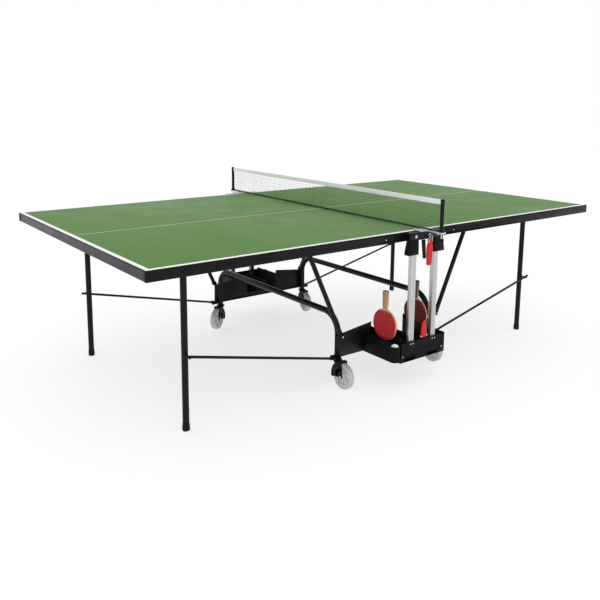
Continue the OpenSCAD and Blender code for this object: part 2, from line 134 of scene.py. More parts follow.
def make_stage():
    """The floor, a white sky and soft lamps."""
    make_floor()
    world = bpy.data.worlds.new("sky")
    world.use_nodes = True
    sky = world.node_tree.nodes["Background"]
    sky.inputs["Color"].default_value = (1, 1, 1, 1)
    sky.inputs["Strength"].default_value = 1.0
    bpy.context.scene.world = world
    for lamp in LAMPS:
        make_lamp(*lamp)
    bpy.context.scene.view_settings.view_transform = "Standard"


# ---- Materials ----------------------------------------------------------------

# Most of a noise texture lies between these two values.
NOISE_LOW, NOISE_HIGH = 0.3, 0.7
# A coat's mottling and roughness vary this many times more slowly than its grain.
MOTTLE_COARSER = 50
ROUGH_COARSER = 70
WOOD_GRAIN = (1, 1, 0.05)
TAPE_WEAVE = (1, 0.1, 1)

# Paints, plastics and rubbers: darker and lighter colour, lowest and highest
# roughness, scale and strength of the grain, and specular level.
COATS = {
    "rail_black": ((0.003,) * 3, (0.006,) * 3, (0.34, 0.5), 900, 0.25, 0.14),
    # A lighter copy of rail_black for the end rails: painted light, as their end faces catch more of the lamps.
    "rail_black_painted_light": (
        (0.045, 0.045, 0.046), (0.065, 0.065, 0.067), (0.36, 0.5), 900, 0.25, 0.14
    ),
    "tube_black": ((0.003,) * 3, (0.006,) * 3, (0.28, 0.42), 800, 0.2, 0.16),
    "moulded_black": ((0.003,) * 3, (0.006,) * 3, (0.42, 0.58), 1600, 0.5, 0.09),
    "foot_rubber": ((0.006,) * 3, (0.012,) * 3, (0.62, 0.8), 700, 0.5, 0.14),
    "wheel_tread": (
        (0.40, 0.41, 0.415), (0.50, 0.51, 0.515), (0.4, 0.55), 700, 0.3, 0.5
    ),
    "bat_red": ((0.37, 0.020, 0.025), (0.44, 0.028, 0.033), (0.4, 0.55), 1800, 0.35, 0.14),
    # A darker copy of bat_red: painted shade for the second bat, which stands in the holder's shade.
    "bat_red_painted_shade": ((0.13, 0.010, 0.013), (0.17, 0.013, 0.017), (0.4, 0.55), 1800, 0.35, 0.14),
}

# Darker and lighter colour, roughness, and how the fine lines are stretched.
METALS = {
    "post_aluminium": ((0.44, 0.44, 0.445), (0.60, 0.60, 0.605), (0.24, 0.4), (1, 1, 0.02)),
    "plated_steel": ((0.50, 0.51, 0.53), (0.66, 0.67, 0.69), (0.16, 0.3), (1, 1, 1)),
}
# Darker and lighter colour, and roughness.
WOODS = {
    "wood_pale": ((0.44, 0.28, 0.13), (0.60, 0.42, 0.23), (0.45, 0.6)),
    "wood_tan": ((0.30, 0.17, 0.08), (0.42, 0.25, 0.12), (0.4, 0.55)),
    # A darker copy of wood_tan: painted shade for the second bat's grip, in the holder's shade.
    "wood_painted_shade": ((0.05, 0.03, 0.02), (0.10, 0.06, 0.035), (0.4, 0.55)),
}


def material(name, color, rough, metal=0.0, **sockets):
    """A Principled material with constant values on the shader's own sockets."""
    made = bpy.data.materials.new(name)
    made.use_nodes = True
    shader = made.node_tree.nodes["Principled BSDF"]
    shader.inputs["Base Color"].default_value = (*color, 1)
    shader.inputs["Roughness"].default_value = rough
    shader.inputs["Metallic"].default_value = metal
    for socket, value in sockets.items():
        shader.inputs[socket.replace("_", " ")].default_value = value
    return made


def noise(made, scale, stretch):
    """A noise node on the object's own coordinates, in metres."""
    nodes, links = made.node_tree.nodes, made.node_tree.links
    place = nodes.new("ShaderNodeTexCoord")
    mapping = nodes.new("ShaderNodeMapping")
    mapping.inputs["Scale"].default_value = stretch
    links.new(place.outputs["Object"], mapping.inputs["Vector"])
    texture = nodes.new("ShaderNodeTexNoise")
    texture.inputs["Scale"].default_value = scale
    texture.inputs["Detail"].default_value = 3.0
    links.new(mapping.outputs["Vector"], texture.inputs["Vector"])
    return texture


def mottle(made, dark, light, scale, stretch=(1, 1, 1)):
    """Varies the base colour between two near colours."""
    nodes, links = made.node_tree.nodes, made.node_tree.links
    ramp = nodes.new("ShaderNodeValToRGB")
    low, high = ramp.color_ramp.elements
    low.position, high.position = NOISE_LOW, NOISE_HIGH
    low.color, high.color = (*dark, 1), (*light, 1)
    links.new(noise(made, scale, stretch).outputs["Fac"], ramp.inputs["Fac"])
    links.new(ramp.outputs["Color"], nodes["Principled BSDF"].inputs["Base Color"])
    return made


def rough_range(made, low, high, scale, stretch=(1, 1, 1)):
    """Varies the roughness, as handling and dust do."""
    nodes, links = made.node_tree.nodes, made.node_tree.links
    spread = nodes.new("ShaderNodeMapRange")
    spread.inputs["From Min"].default_value = NOISE_LOW
    spread.inputs["From Max"].default_value = NOISE_HIGH
    spread.inputs["To Min"].default_value = low
    spread.inputs["To Max"].default_value = high
    links.new(noise(made, scale, stretch).outputs["Fac"], spread.inputs["Value"])
    links.new(spread.outputs["Result"], nodes["Principled BSDF"].inputs["Roughness"])
    return made


def bumped(made, scale, strength, depth=0.2 * MM, stretch=(1, 1, 1)):
    """A fine surface texture."""
    nodes, links = made.node_tree.nodes, made.node_tree.links
    bump = nodes.new("ShaderNodeBump")
    bump.inputs["Strength"].default_value = strength
    bump.inputs["Distance"].default_value = depth
    links.new(noise(made, scale, stretch).outputs["Fac"], bump.inputs["Height"])
    links.new(bump.outputs["Normal"], nodes["Principled BSDF"].inputs["Normal"])
    return made


def coat(name, dark, light, rough, grain, strength, specular):
    """A paint, plastic or rubber: two near colours, a roughness range and a grain."""
    made = material(name, light, sum(rough) / 2, Specular_IOR_Level=specular)
    mottle(made, dark, light, grain / MOTTLE_COARSER)
    rough_range(made, *rough, grain / ROUGH_COARSER)
    return bumped(made, grain, strength)


def drawn_metal(name, dark, light, rough, stretch):
    """A metal with fine lines along one axis, or evenly fine."""
    made = material(name, light, sum(rough) / 2, metal=1.0)
    mottle(made, dark, light, 60, stretch)
    rough_range(made, *rough, 160, stretch)
    return bumped(made, 900, 0.12, stretch=stretch)


def wood(name, dark, light, rough):
    """Wood with its grain along Z, as on a bat."""
    made = material(name, light, sum(rough) / 2)
    mottle(made, dark, light, 420, WOOD_GRAIN)
    rough_range(made, *rough, 90)
    return bumped(made, 700, 0.25, 0.3 * MM, WOOD_GRAIN)


def make_materials():
    """One material for each slot of the record, and a few for added detail."""
    made = {name: coat(name, *values) for name, values in COATS.items()}
    made.update({name: drawn_metal(name, *values) for name, values in METALS.items()})
    made.update({name: wood(name, *values) for name, values in WOODS.items()})

    green = material("board_green", (0.096, 0.203, 0.055), 0.5, Specular_IOR_Level=0.05)
    mottle(green, (0.091, 0.196, 0.051), (0.101, 0.210, 0.059), 3)
    rough_range(green, 0.42, 0.56, 6)
    made["board_green"] = bumped(green, 1400, 0.12)

    wheel_grey = material("wheel_grey", (0.55, 0.565, 0.57), 0.34, Coat_Weight=0.25)
    mottle(wheel_grey, (0.49, 0.505, 0.51), (0.60, 0.615, 0.62), 28)
    rough_range(wheel_grey, 0.28, 0.46, 40)
    made["wheel_grey"] = bumped(wheel_grey, 600, 0.2, 0.3 * MM)

    red = material("lever_red", (0.56, 0.008, 0.006), 0.36, Specular_IOR_Level=0.25)
    mottle(red, (0.52, 0.007, 0.005), (0.60, 0.010, 0.008), 30)
    made["lever_red"] = bumped(red, 500, 0.08)

    tape = material("net_white", (0.72, 0.75, 0.74), 0.75)
    mottle(tape, (0.68, 0.71, 0.70), (0.76, 0.79, 0.78), 120, TAPE_WEAVE)
    made["net_white"] = bumped(tape, 2200, 0.6, 0.3 * MM)

    net = material("net_dark", (0.02, 0.022, 0.022), 0.85)
    mottle(net, (0.014, 0.016, 0.016), (0.03, 0.032, 0.032), 300)
    made["net_dark"] = bumped(net, 3000, 0.6)

    line = material("line_white", (0.78, 0.8, 0.79), 0.5, Specular_IOR_Level=0.25)
    mottle(line, (0.74, 0.76, 0.75), (0.82, 0.84, 0.83), 25)
    made["line_white"] = bumped(line, 1200, 0.2, 0.1 * MM)

    ball = material("ball_white", (0.8, 0.8, 0.78), 0.45, Subsurface_Weight=0.2)
    mottle(ball, (0.77, 0.77, 0.75), (0.83, 0.83, 0.81), 60)
    made["ball_white"] = bumped(ball, 1500, 0.15, 0.1 * MM)
    return made


# ---- Mesh helpers -------------------------------------------------------------

# Corners sharper than these, in degrees, are shaded as edges and are rounded.
SHARP_FROM = 32
ROUND_FROM = 40


def in_mm(points):
    """Flat points given in millimetres, as metres."""
    return [(u * MM, v * MM) for u, v in points]


def oriented(axis, along, u, v):
    """A point from its place along an axis and its two other coordinates."""
    return {"x": (along, u, v), "y": (u, along, v), "z": (u, v, along)}[axis]


def axis_turn(axis):
    """Turns a lathe's Z axis onto X, Y or Z."""
    turns = {"x": (math.pi / 2, "Y"), "y": (-math.pi / 2, "X"), "z": (0, "Z")}
    angle, about = turns[axis]
    return Matrix.Rotation(angle, 4, about)


def polar(radius, turn, centre=(0, 0)):
    """A flat point at a distance and an angle, in radians, from a centre."""
    return centre[0] + radius * math.cos(turn), centre[1] + radius * math.sin(turn)


def arc(centre, radius, start, end, steps):
    """Points on a circle, from one angle to another, in degrees."""
    turns = [math.radians(start + (end - start) * k / steps) for k in range(steps + 1)]
    return [polar(radius, turn, centre) for turn in turns]


def round_box(low, high, radius, steps=6):
    """A rectangle's outline with round corners."""
    (x0, z0), (x1, z1) = low, high
    corners = (
        ((x1 - radius, z0 + radius), -90),
        ((x1 - radius, z1 - radius), 0),
        ((x0 + radius, z1 - radius), 90),
        ((x0 + radius, z0 + radius), 180),
    )
    return [p for centre, start in corners for p in arc(centre, radius, start, start + 90, steps)]


def loft(bm, rings):
    """Joins rings of equal length with faces, and closes the first and the last."""
    count = len(rings[0])
    for one, two in zip(rings, rings[1:]):
        for k in range(count):
            j = (k + 1) % count
            bm.faces.new((one[k], one[j], two[j], two[k]))
    bm.faces.new(rings[0][::-1])
    bm.faces.new(rings[-1])


def prism(bm, outline, axis, a, b, place=Matrix()):
    """A closed flat outline, given a thickness from a to b along an axis."""
    rings = []
    for along in (a, b):
        rings.append(
            [bm.verts.new(place @ Vector(oriented(axis, along, u, v))) for u, v in outline]
        )
    loft(bm, rings)


def frame_prism(bm, outer, inner, axis, a, b, place=Matrix()):
    """A frame or ring between two outlines with the same number of points."""
    loops = []
    for outline, along in ((outer, a), (outer, b), (inner, b), (inner, a)):
        loops.append(
            [bm.verts.new(place @ Vector(oriented(axis, along, u, v))) for u, v in outline]
        )
    count = len(outer)
    for k in range(4):
        one, two = loops[k], loops[(k + 1) % 4]
        for i in range(count):
            j = (i + 1) % count
            bm.faces.new((one[i], one[j], two[j], two[i]))


def block(bm, low, high, place=Matrix()):
    """A box between two corners."""
    outline = [(low[0], low[1]), (high[0], low[1]), (high[0], high[1]), (low[0], high[1])]
    prism(bm, outline, "z", low[2], high[2], place)


def lathe(bm, profile, place, steps=32):
    """A solid turned about Z from (radius, height) points, then put in place."""
    rings = []
    for radius, height in profile:
        if radius < TINY:
            rings.append([bm.verts.new(place @ Vector((0, 0, height)))])
            continue
        ring = []
        for k in range(steps):
            at = Vector((*polar(radius, math.tau * k / steps), height))
            ring.append(bm.verts.new(place @ at))
        rings.append(ring)
    pairs = list(zip(rings, rings[1:]))
    if len(rings[0]) > 1 and len(rings[-1]) > 1:
        pairs.append((rings[-1], rings[0]))
    for one, two in pairs:
        for k in range(steps):
            j = (k + 1) % steps
            corners = [one[k % len(one)], one[j % len(one)], two[j % len(two)], two[k % len(two)]]
            unique = list(dict.fromkeys(corners))
            if len(unique) > 2:
                bm.faces.new(unique)


def tube(bm, path, radius, sides=8):
    """A closed tube along a list of points."""
    rings = []
    points = [Vector(p) for p in path]
    side = None
    for i, point in enumerate(points):
        ahead = (points[min(i + 1, len(points) - 1)] - points[max(i - 1, 0)]).normalized()
        if side is None:
            side = ahead.orthogonal()
        side = (side - ahead * side.dot(ahead)).normalized()
        other = ahead.cross(side)
        ring = []
        for k in range(sides):
            turn = math.tau * (k + 0.5) / sides
            offset = side * math.cos(turn) + other * math.sin(turn)
            ring.append(bm.verts.new(point + offset * radius))
        rings.append(ring)
    loft(bm, rings)


def crisp(obj, bevel=0.0, segments=2):
    """Smooth shading with sharp edges, and an optional rounded edge."""
    mesh = obj.data
    mesh.polygons.foreach_set("use_smooth", [True] * len(mesh.polygons))
    mesh.set_sharp_from_angle(angle=math.radians(SHARP_FROM))
    if bevel:
        weld = obj.modifiers.new("weld", "WELD")
        weld.merge_threshold = TINY
        edge = obj.modifiers.new("edge", "BEVEL")
        edge.width = bevel
        edge.segments = segments
        edge.limit_method = "ANGLE"
        edge.angle_limit = math.radians(ROUND_FROM)
        edge.harden_normals = True


def piece(name, bm, body, finish, bevel=0.0, segments=2, stands_for=()):
    """Makes an object of a mesh in the making, and lets it ride on a body."""
    bmesh.ops.recalc_face_normals(bm, faces=bm.faces)
    mesh = bpy.data.meshes.new(name)
    bm.to_mesh(mesh)
    bm.free()
    obj = bpy.data.objects.new(name, mesh)
    bpy.context.scene.collection.objects.link(obj)
    mesh.materials.append(MATERIALS[finish])
    crisp(obj, bevel, segments)
    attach(obj, body)
    if stands_for:
        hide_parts(*stands_for)
    return obj


# ---- Table top: playing lines, edges, screws and feet -------------------------

EDGE_LINE = 20 * MM
CENTRE_LINE = 3 * MM
PAINT = 0.3 * MM
BAND_PROUD = 0.4 * MM
# The radius and height of a rail screw's head.
RAIL_SCREW = (3.2 * MM, 1.2 * MM)
# The screws of a side rail: name, finish, and how far each is from the net.
RAIL_SCREWS = (
    ("rail_screws", "plated_steel", (0.224,)),
    ("rail_black_screws", "tube_black", (0.62, 1.02, 1.33)),
)


def inner_outer(low, high, sx):
    """A half's x by the net and at its outer end, from the corners of a box."""
    return (low.x, high.x) if sx > 0 else (high.x, low.x)


def edge_outline(side, sx, grow, width):
    """A band along a half's three outer edges, grown outwards a little."""
    low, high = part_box(f"{side}_board")
    inner, outer = inner_outer(low, high, sx)
    outer += sx * grow
    near, far = low.y - grow, high.y + grow
    return [
        (inner, near), (outer, near), (outer, far), (inner, far),
        (inner, far - width), (outer - sx * width, far - width),
        (outer - sx * width, near + width), (inner, near + width),
    ]


def lines(side, sx):
    """White lines round the three outer edges of a half, and down its middle."""
    low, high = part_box(f"{side}_board")
    top = high.z
    inner, outer = inner_outer(low, high, sx)
    bm = bmesh.new()
    prism(bm, edge_outline(side, sx, 0, EDGE_LINE), "z", top, top + PAINT)
    xs = sorted((inner, outer - sx * EDGE_LINE))
    block(bm, (xs[0], -CENTRE_LINE / 2, top), (xs[1], CENTRE_LINE / 2, top + PAINT))
    piece(f"{side}_lines", bm, f"{side}_half", "line_white", 0.1 * MM, 1)


def edge_band(side, sx):
    """The dark edge trim round a half's three outer edges."""
    low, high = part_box(f"{side}_board")
    bm = bmesh.new()
    band = edge_outline(side, sx, BAND_PROUD, BAND_PROUD)
    prism(bm, band, "z", low.z, high.z - PAINT)
    piece(f"{side}_edge_band", bm, f"{side}_half", "rail_black")


def screw_head(bm, at, axis, out, radius, height):
    """A domed screw head with a cross on it. out is +1 or -1 along its axis."""
    dome = [
        (0, height), (radius * 0.4, height * 0.97), (radius * 0.75, height * 0.75),
        (radius * 0.95, height * 0.35), (radius, 0), (0, 0),
    ]
    flip = Matrix.Identity(4) if out > 0 else Matrix.Rotation(math.pi, 4, "X")
    turn = Matrix.Translation(at) @ axis_turn(axis) @ flip
    lathe(bm, dome, turn, 20)
    reach, half = radius * 0.55, radius * 0.09
    for x, y in ((reach, half), (half, reach)):
        block(bm, (-x, -y, height * 0.9), (x, y, height * 1.03), turn)


def rail_screws(side, sx):
    """One bright screw in each side rail by the posts, and black ones further out."""
    low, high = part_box(f"{side}_side_rails")
    middle = (low.z + high.z) / 2
    for name, finish, places in RAIL_SCREWS:
        bm = bmesh.new()
        for x in places:
            for y, out in ((low.y, -1), (high.y, 1)):
                screw_head(bm, Vector((sx * x, y, middle)), "y", out, *RAIL_SCREW)
        piece(f"{side}_{name}", bm, f"{side}_half", finish)


def corner_caps(side, sx):
    """Moulded caps over the ends of the side rails at the outer corners."""
    low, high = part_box(f"{side}_side_rails")
    _, outer = inner_outer(low, high, sx)
    inside, end_proud = 1 * MM, 1.5 * MM
    width, side_proud = 17.6 * MM, 0.4 * MM
    below, above = 0.5 * MM, 0.2 * MM
    bm = bmesh.new()
    for y, sy in ((low.y, -1), (high.y, 1)):
        xs = sorted((outer - sx * inside, outer + sx * end_proud))
        ys = sorted((y + sy * side_proud, y - sy * width))
        outline = round_box((xs[0], ys[0]), (xs[1], ys[1]), 1 * MM, 3)
        prism(bm, outline, "z", low.z + below, high.z - above)
    piece(f"{side}_corner_caps", bm, f"{side}_half", "moulded_black", 0.5 * MM)


def foot_caps(side):
    """Rubber feet with a tread groove and a soft collar."""
    low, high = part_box(f"{side}_foot_caps")
    radius = (high.x - low.x) / 2
    wide, slim, bore = 15.9 * MM, 15.2 * MM, 14.1 * MM
    groove, sole, tall = 1.2 * MM, 6 * MM, 32 * MM
    profile = [
        (0, 0), (wide - 2 * MM, 0), (wide, 2 * MM), (wide, 7 * MM),
        (wide - groove, 8 * MM), (wide - groove, 10 * MM), (wide, 11 * MM),
        (wide, 20 * MM), (wide - 1 * MM, 24 * MM), (slim, 30 * MM),
        (slim - 0.6 * MM, tall), (bore, tall), (bore, sole), (0, sole),
    ]
    bm = bmesh.new()
    for y, sy in ((low.y, -1), (high.y, 1)):
        centre = Vector(((low.x + high.x) / 2, y - sy * radius, 0))
        lathe(bm, profile, Matrix.Translation(centre), 36)
    piece(
        f"{side}_feet", bm, f"{side}_legs", "foot_rubber", stands_for=(f"{side}_foot_caps",)
    )


# ---- Net set ------------------------------------------------------------------

MESH_STEP = 12.5 * MM
STRING_RADIUS = 0.5 * MM
# How far strings pass to each side of the net's plane, bend aside and hang down.
STRING_PASS = 0.25 * MM
STRING_BEND = 0.5 * MM
STRING_DIP = 0.7 * MM
HEM_TALL = 7 * MM
HEM_HALF = 0.75 * MM
# The cord under the net, which runs a little past it at both ends.
CORD_RADIUS = 1.3 * MM
CORD_SAG = 1.2 * MM
CORD_PAST = 8 * MM
CORD_STEPS = 60

# The tape: its cloth, half its width across, and the radius of its fold.
TAPE_WALL = 0.7 * MM
TAPE_HALF = 1.6 * MM
TAPE_CROWN = 2.2 * MM
TAPE_RIPPLE = 0.5 * MM
TAPE_STEPS = 140
# A stitch is as long as the gap after it.
STITCH = 5 * MM


def make_net():
    """A sheer net of crossing strings with a dark hem."""
    low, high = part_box("net")
    wide, tall = high.y - low.y, high.z - low.z
    columns = round(wide / MESH_STEP)
    rows = round(tall / MESH_STEP)
    bm = bmesh.new()
    for i in range(columns + 1):
        y = low.y + wide * i / columns
        path = []
        for k in range(2 * rows + 1):
            z = low.z + tall * k / (2 * rows)
            bend = STRING_BEND * math.sin(math.pi * k + i)
            path.append((STRING_PASS * (-1) ** k, y + bend, z))
        tube(bm, path, STRING_RADIUS, 4)
    for k in range(rows + 1):
        z = low.z + tall * k / rows
        inside = 0 if k in (0, rows) else 1
        path = []
        for i in range(columns + 1):
            y = low.y + wide * i / columns
            dip = STRING_DIP * math.sin(1.3 * i + k)
            path.append((STRING_PASS * (-1) ** i, y, z + dip * inside))
        tube(bm, path, STRING_RADIUS, 4)
    hem = [
        (0, low.z), (HEM_HALF, low.z + HEM_HALF), (HEM_HALF, low.z + HEM_TALL),
        (-HEM_HALF, low.z + HEM_TALL), (-HEM_HALF, low.z + HEM_HALF),
    ]
    prism(bm, hem, "y", low.y, high.y)
    net = piece("net_mesh", bm, "chassis", "net_dark", stands_for=("net",))


def bottom_cord():
    """A dark cord along the net's lower edge, sagging a little."""
    low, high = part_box("net")
    wide = high.y - low.y
    level = low.z + 0.6 * MM
    bm = bmesh.new()
    path = []
    for i in range(CORD_STEPS + 1):
        share = i / CORD_STEPS
        y = low.y - CORD_PAST + (wide + 2 * CORD_PAST) * share
        path.append((0, y, level - CORD_SAG * math.sin(math.pi * share)))
    tube(bm, path, CORD_RADIUS)
    piece("net_bottom_cord", bm, "chassis", "moulded_black")


def make_tape():
    """White tape folded over the top cord."""
    low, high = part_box("net_tape")
    tall = high.z - low.z
    crown = high.z - TAPE_CROWN
    outline = [
        (-TAPE_HALF, low.z), *arc((0, crown), TAPE_CROWN, 180, 0, 8), (TAPE_HALF, low.z),
        (TAPE_HALF - TAPE_WALL, low.z), *arc((0, crown), TAPE_CROWN - TAPE_WALL, 0, 180, 8),
        (-TAPE_HALF + TAPE_WALL, low.z),
    ]
    bm = bmesh.new()
    rings = []
    for i in range(TAPE_STEPS + 1):
        y = low.y + (high.y - low.y) * i / TAPE_STEPS
        ripple = TAPE_RIPPLE * math.sin(0.9 * i) * math.sin(0.37 * i)
        ring = []
        for x, z in outline:
            loose = (high.z - z) / tall
            ring.append(bm.verts.new((x + ripple * loose, y, z + 0.4 * ripple * loose)))
        rings.append(ring)
    loft(bm, rings)
    tape = piece(
        "net_tape_folded", bm, "chassis", "net_white", stands_for=("net_tape",)
    )


def tape_stitches():
    """A row of stitches along the tape's lower edge, on both faces."""
    low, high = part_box("net_tape")
    bm = bmesh.new()
    z = low.z + 3 * MM
    for sx in (-1, 1):
        x = sx * (TAPE_HALF + 0.15 * MM)
        middle_x = x + sx * 0.2 * MM
        for i in range(int((high.y - low.y) / STITCH / 2)):
            y = low.y + 4 * MM + 2 * STITCH * i
            thread = [(x, y, z), (middle_x, y + STITCH / 2, z), (x, y + STITCH, z)]
            tube(bm, thread, 0.25 * MM, 4)
    piece("net_tape_stitches", bm, "chassis", "net_white")


def top_cord():
    """The ends of the white cord inside the tape, where they reach the posts."""
    _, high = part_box("net_tape")
    crown = high.z - TAPE_CROWN
    inside, outside = abs(high.y) - 12 * MM, abs(high.y) + 2 * MM
    bm = bmesh.new()
    for sy in (-1, 1):
        tube(bm, [(0, sy * inside, crown), (0, sy * outside, crown)], 1.2 * MM)
    piece("net_top_cord", bm, "chassis", "net_white")


def make_net_posts():
    """Black net posts with a domed cap, a collar and the ties that hold the net."""
    low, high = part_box("net_posts")
    foot, top = low.z, high.z
    collar = high.x
    radius = collar - 4 * MM
    cap = radius + 1 * MM
    profile = [
        (0, foot), (collar, foot), (collar, foot + 8 * MM), (collar - 1.5 * MM, foot + 10 * MM),
        (radius, foot + 11 * MM), (radius, top - 14 * MM), (cap, top - 13 * MM),
        (cap, top - 4 * MM), (radius - 1.5 * MM, top - 1 * MM), (radius - 5 * MM, top), (0, top),
    ]
    tie_slant = 0.6 * MM
    bm = bmesh.new()
    ties = bmesh.new()
    for sy in (-1, 1):
        at = Vector((0, sy * (high.y - collar), 0))
        lathe(bm, profile, Matrix.Translation(at))
        for z in (foot + 16 * MM, top - 24 * MM, (foot + top) / 2):
            loop = []
            for k in range(25):
                turn = math.tau * k / 24
                x, y = polar(cap, turn, (0, at.y))
                loop.append((x, y, z + tie_slant * math.sin(turn)))
            tube(ties, loop, 0.9 * MM, 6)
    piece("net_poles", bm, "chassis", "tube_black", stands_for=("net_posts",))
    piece("net_ties", ties, "chassis", "net_dark")


def net_clamps():
    """A clamp screw with a moulded knob under each net arm, and its plate's screws."""
    _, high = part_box("net_brackets")
    plate_screw_x, plate_screw_y = 32 * MM, 0.752
    shaft_top, shaft_long, shaft_radius = 0.758, 26 * MM, 3 * MM
    knob_low, knob_high = 0.722, 0.735
    shaft = [(0, -shaft_long), (shaft_radius, -shaft_long), (shaft_radius, 0), (0, 0)]
    steel = bmesh.new()
    knobs = bmesh.new()
    for sy in (-1, 1):
        edge = sy * (abs(high.y) - 14 * MM)
        for x in (-plate_screw_x, plate_screw_x):
            at = Vector((x, sy * plate_screw_y, high.z))
            screw_head(steel, at, "z", 1, 4 * MM, 1.8 * MM)
        lathe(steel, shaft, Matrix.Translation((0, edge, shaft_top)), 16)
        lobes = []
        for k in range(48):
            turn = math.tau * k / 48
            lobes.append(polar(11 * MM + 1.6 * MM * math.cos(8 * turn), turn, (0, edge)))
        prism(knobs, lobes, "z", knob_low, knob_high)
    piece("net_clamp_screws", steel, "chassis", "plated_steel")
    piece("net_clamp_knobs", knobs, "chassis", "moulded_black", 1 * MM)


# ---- Casters ------------------------------------------------------------------

TRAIL = 48 * MM
WHEEL_RADIUS = 62.5 * MM
WHEEL_HALF = 14 * MM
TREAD_INSIDE = 50 * MM
# Profiles as (radius, place along the axle), and a spoke's outline, in millimetres.
RIM = ((43, -9), (50.2, -11), (50.2, 11), (43, 9))
WEB = ((12, -2), (44, -1.5), (44, 1.5), (12, 2))
HUB = ((4.1, -15), (11, -15), (14, -12), (15, -3), (15, 3), (14, 12), (11, 15), (4.1, 15))
SPOKE = ((-4, 13), (4, 13), (2.6, 44.5), (-2.6, 44.5))
SPOKE_HALF = 8.5 * MM
SPOKES = 6

# The fork's hood: its outer and inner radius, and the arcs in degrees that it and
# its ribs cover.
HOOD_OUTER = 71 * MM
HOOD_INNER = 66.5 * MM
HOOD_FROM, HOOD_TO = -14, 92
RIBS_FROM, RIBS_TO = -10, 88
HOOD_RIBS = 9
# Half the fork's width, and its wall.
CHEEK = 19 * MM
CHEEK_WALL = 3 * MM
# Profiles of the swivel's neck and of the axle's nut, in millimetres.
NECK = (
    (0, -17), (17, -17), (17, -7), (23, -6), (23, -0.5), (11, 0), (11, 5.5), (0, 5.5),
)
NUT = ((0, 0), (6.5, 0), (6.5, 3.5), (5.5, 4.5), (0, 4.5))


def caster_place(name):
    """The frame of a caster: the wheel's centre, with the swivel ahead on +Y."""
    spin = JOINT[f"{name}_wheel_spin"]
    turn = math.atan2(spin["axis"][1], spin["axis"][0])
    return Matrix.Translation(spin["pos_m"]) @ Matrix.Rotation(turn, 4, "Z")


def wheel(name):
    """A light grey wheel: a darker tread, a rim, spokes and a hub."""
    place = caster_place(name)
    turned = place @ axis_turn("x")
    radius, half = WHEEL_RADIUS, WHEEL_HALF
    tread = bmesh.new()
    profile = [
        (TREAD_INSIDE, -half + 1 * MM), (radius - 5 * MM, -half),
        (radius - 1.5 * MM, -half + 2.5 * MM), (radius, -half + 6 * MM), (radius, half - 6 * MM),
        (radius - 1.5 * MM, half - 2.5 * MM), (radius - 5 * MM, half),
        (TREAD_INSIDE, half - 1 * MM),
    ]
    lathe(tread, profile, turned, 64)
    piece(f"{name}_tread", tread, f"{name}_wheel", "wheel_tread")
    core = bmesh.new()
    lathe(core, in_mm(RIM), turned, 64)
    lathe(core, in_mm(WEB), turned, 64)
    lathe(core, in_mm(HUB), turned, 40)
    for k in range(SPOKES):
        turn = place @ Matrix.Rotation(math.tau * k / SPOKES, 4, "X")
        prism(core, in_mm(SPOKE), "x", -SPOKE_HALF, SPOKE_HALF, turn)
    piece(
        f"{name}_rim", core, f"{name}_wheel", "wheel_grey", 0.6 * MM, 1,
        stands_for=(f"{name}_wheel",),
    )


def fork(name):
    """A ribbed hood over the swivel side of the wheel, with two arms to the axle."""
    place = caster_place(name)
    bm = bmesh.new()
    shell = arc((0, 0), HOOD_OUTER, HOOD_FROM, HOOD_TO, 24)
    shell += arc((0, 0), HOOD_INNER, HOOD_TO, HOOD_FROM, 24)
    prism(bm, shell, "x", -CHEEK, CHEEK, place)
    skirt = arc((0, 0), HOOD_INNER + 1 * MM, HOOD_FROM, HOOD_TO, 24)
    skirt += arc((0, 0), 24 * MM, HOOD_TO, HOOD_FROM, 24)
    arm = [
        *arc((0, 0), 11 * MM, 140, 310, 10), (30 * MM, -4 * MM),
        *arc((0, 0), 40 * MM, 0, 80, 10), (2 * MM, 30 * MM),
    ]
    for x in (-CHEEK, CHEEK - CHEEK_WALL):
        prism(bm, skirt, "x", x, x + CHEEK_WALL, place)
        prism(bm, arm, "x", x, x + CHEEK_WALL, place)
    rib_half, rib_long = 1.5 * MM, CHEEK + 0.8 * MM
    outline = round_box((-rib_half, -rib_long), (rib_half, rib_long), 1 * MM, 3)
    rib = [(v, u) for u, v in outline]
    outwards = Matrix.Rotation(-math.pi / 2, 4, "X")
    for k in range(HOOD_RIBS):
        turn = math.radians(RIBS_FROM + (RIBS_TO - RIBS_FROM) * k / (HOOD_RIBS - 1))
        rib_place = place @ Matrix.Rotation(turn, 4, "X") @ outwards
        prism(bm, rib, "z", HOOD_OUTER - 1 * MM, HOOD_OUTER + 1.6 * MM, rib_place)
    neck_place = place @ Matrix.Translation((0, TRAIL, HOOD_OUTER + 0.5 * MM))
    lathe(bm, in_mm(NECK), neck_place)
    piece(
        f"{name}_hood", bm, f"{name}_fork", "moulded_black", 0.7 * MM,
        stands_for=(f"{name}_fork",),
    )
    bolts = bmesh.new()
    rod_half, rod_radius = CHEEK + 3 * MM, 4 * MM
    rod = [(0, -rod_half), (rod_radius, -rod_half), (rod_radius, rod_half), (0, rod_half)]
    lathe(bolts, rod, place @ axis_turn("x"), 16)
    for out in (-1, 1):
        at = place @ Matrix.Translation((out * CHEEK, 0, 0)) @ axis_turn("x")
        if out < 0:
            at = at @ Matrix.Rotation(math.pi, 4, "X")
        lathe(bolts, in_mm(NUT), at, 6)
    piece(f"{name}_axle_bolt", bolts, f"{name}_fork", "plated_steel")


# ---- Holder, balls and bats ---------------------------------------------------

BALL_TUBE_RADIUS = 25 * MM
BALL_TUBE_BORE = 22 * MM
BALL_TUBE_RIBS = 18
BALL_SEAM = 0.12 * MM
PLY_HALF = 3 * MM
RUBBER_THICK = 2.5 * MM
GRIP_LONG = 84 * MM
# Half a grip's width by the blade, and what its flare and its waist's swell add.
GRIP_HALF = 12.3 * MM
GRIP_FLARE = 3.2 * MM
GRIP_SWELL = 0.8 * MM
# Half of the blade's gap at the neck and of the rubber's, in degrees from the handle.
BLADE_GAP = 20
RUBBER_GAP = 33


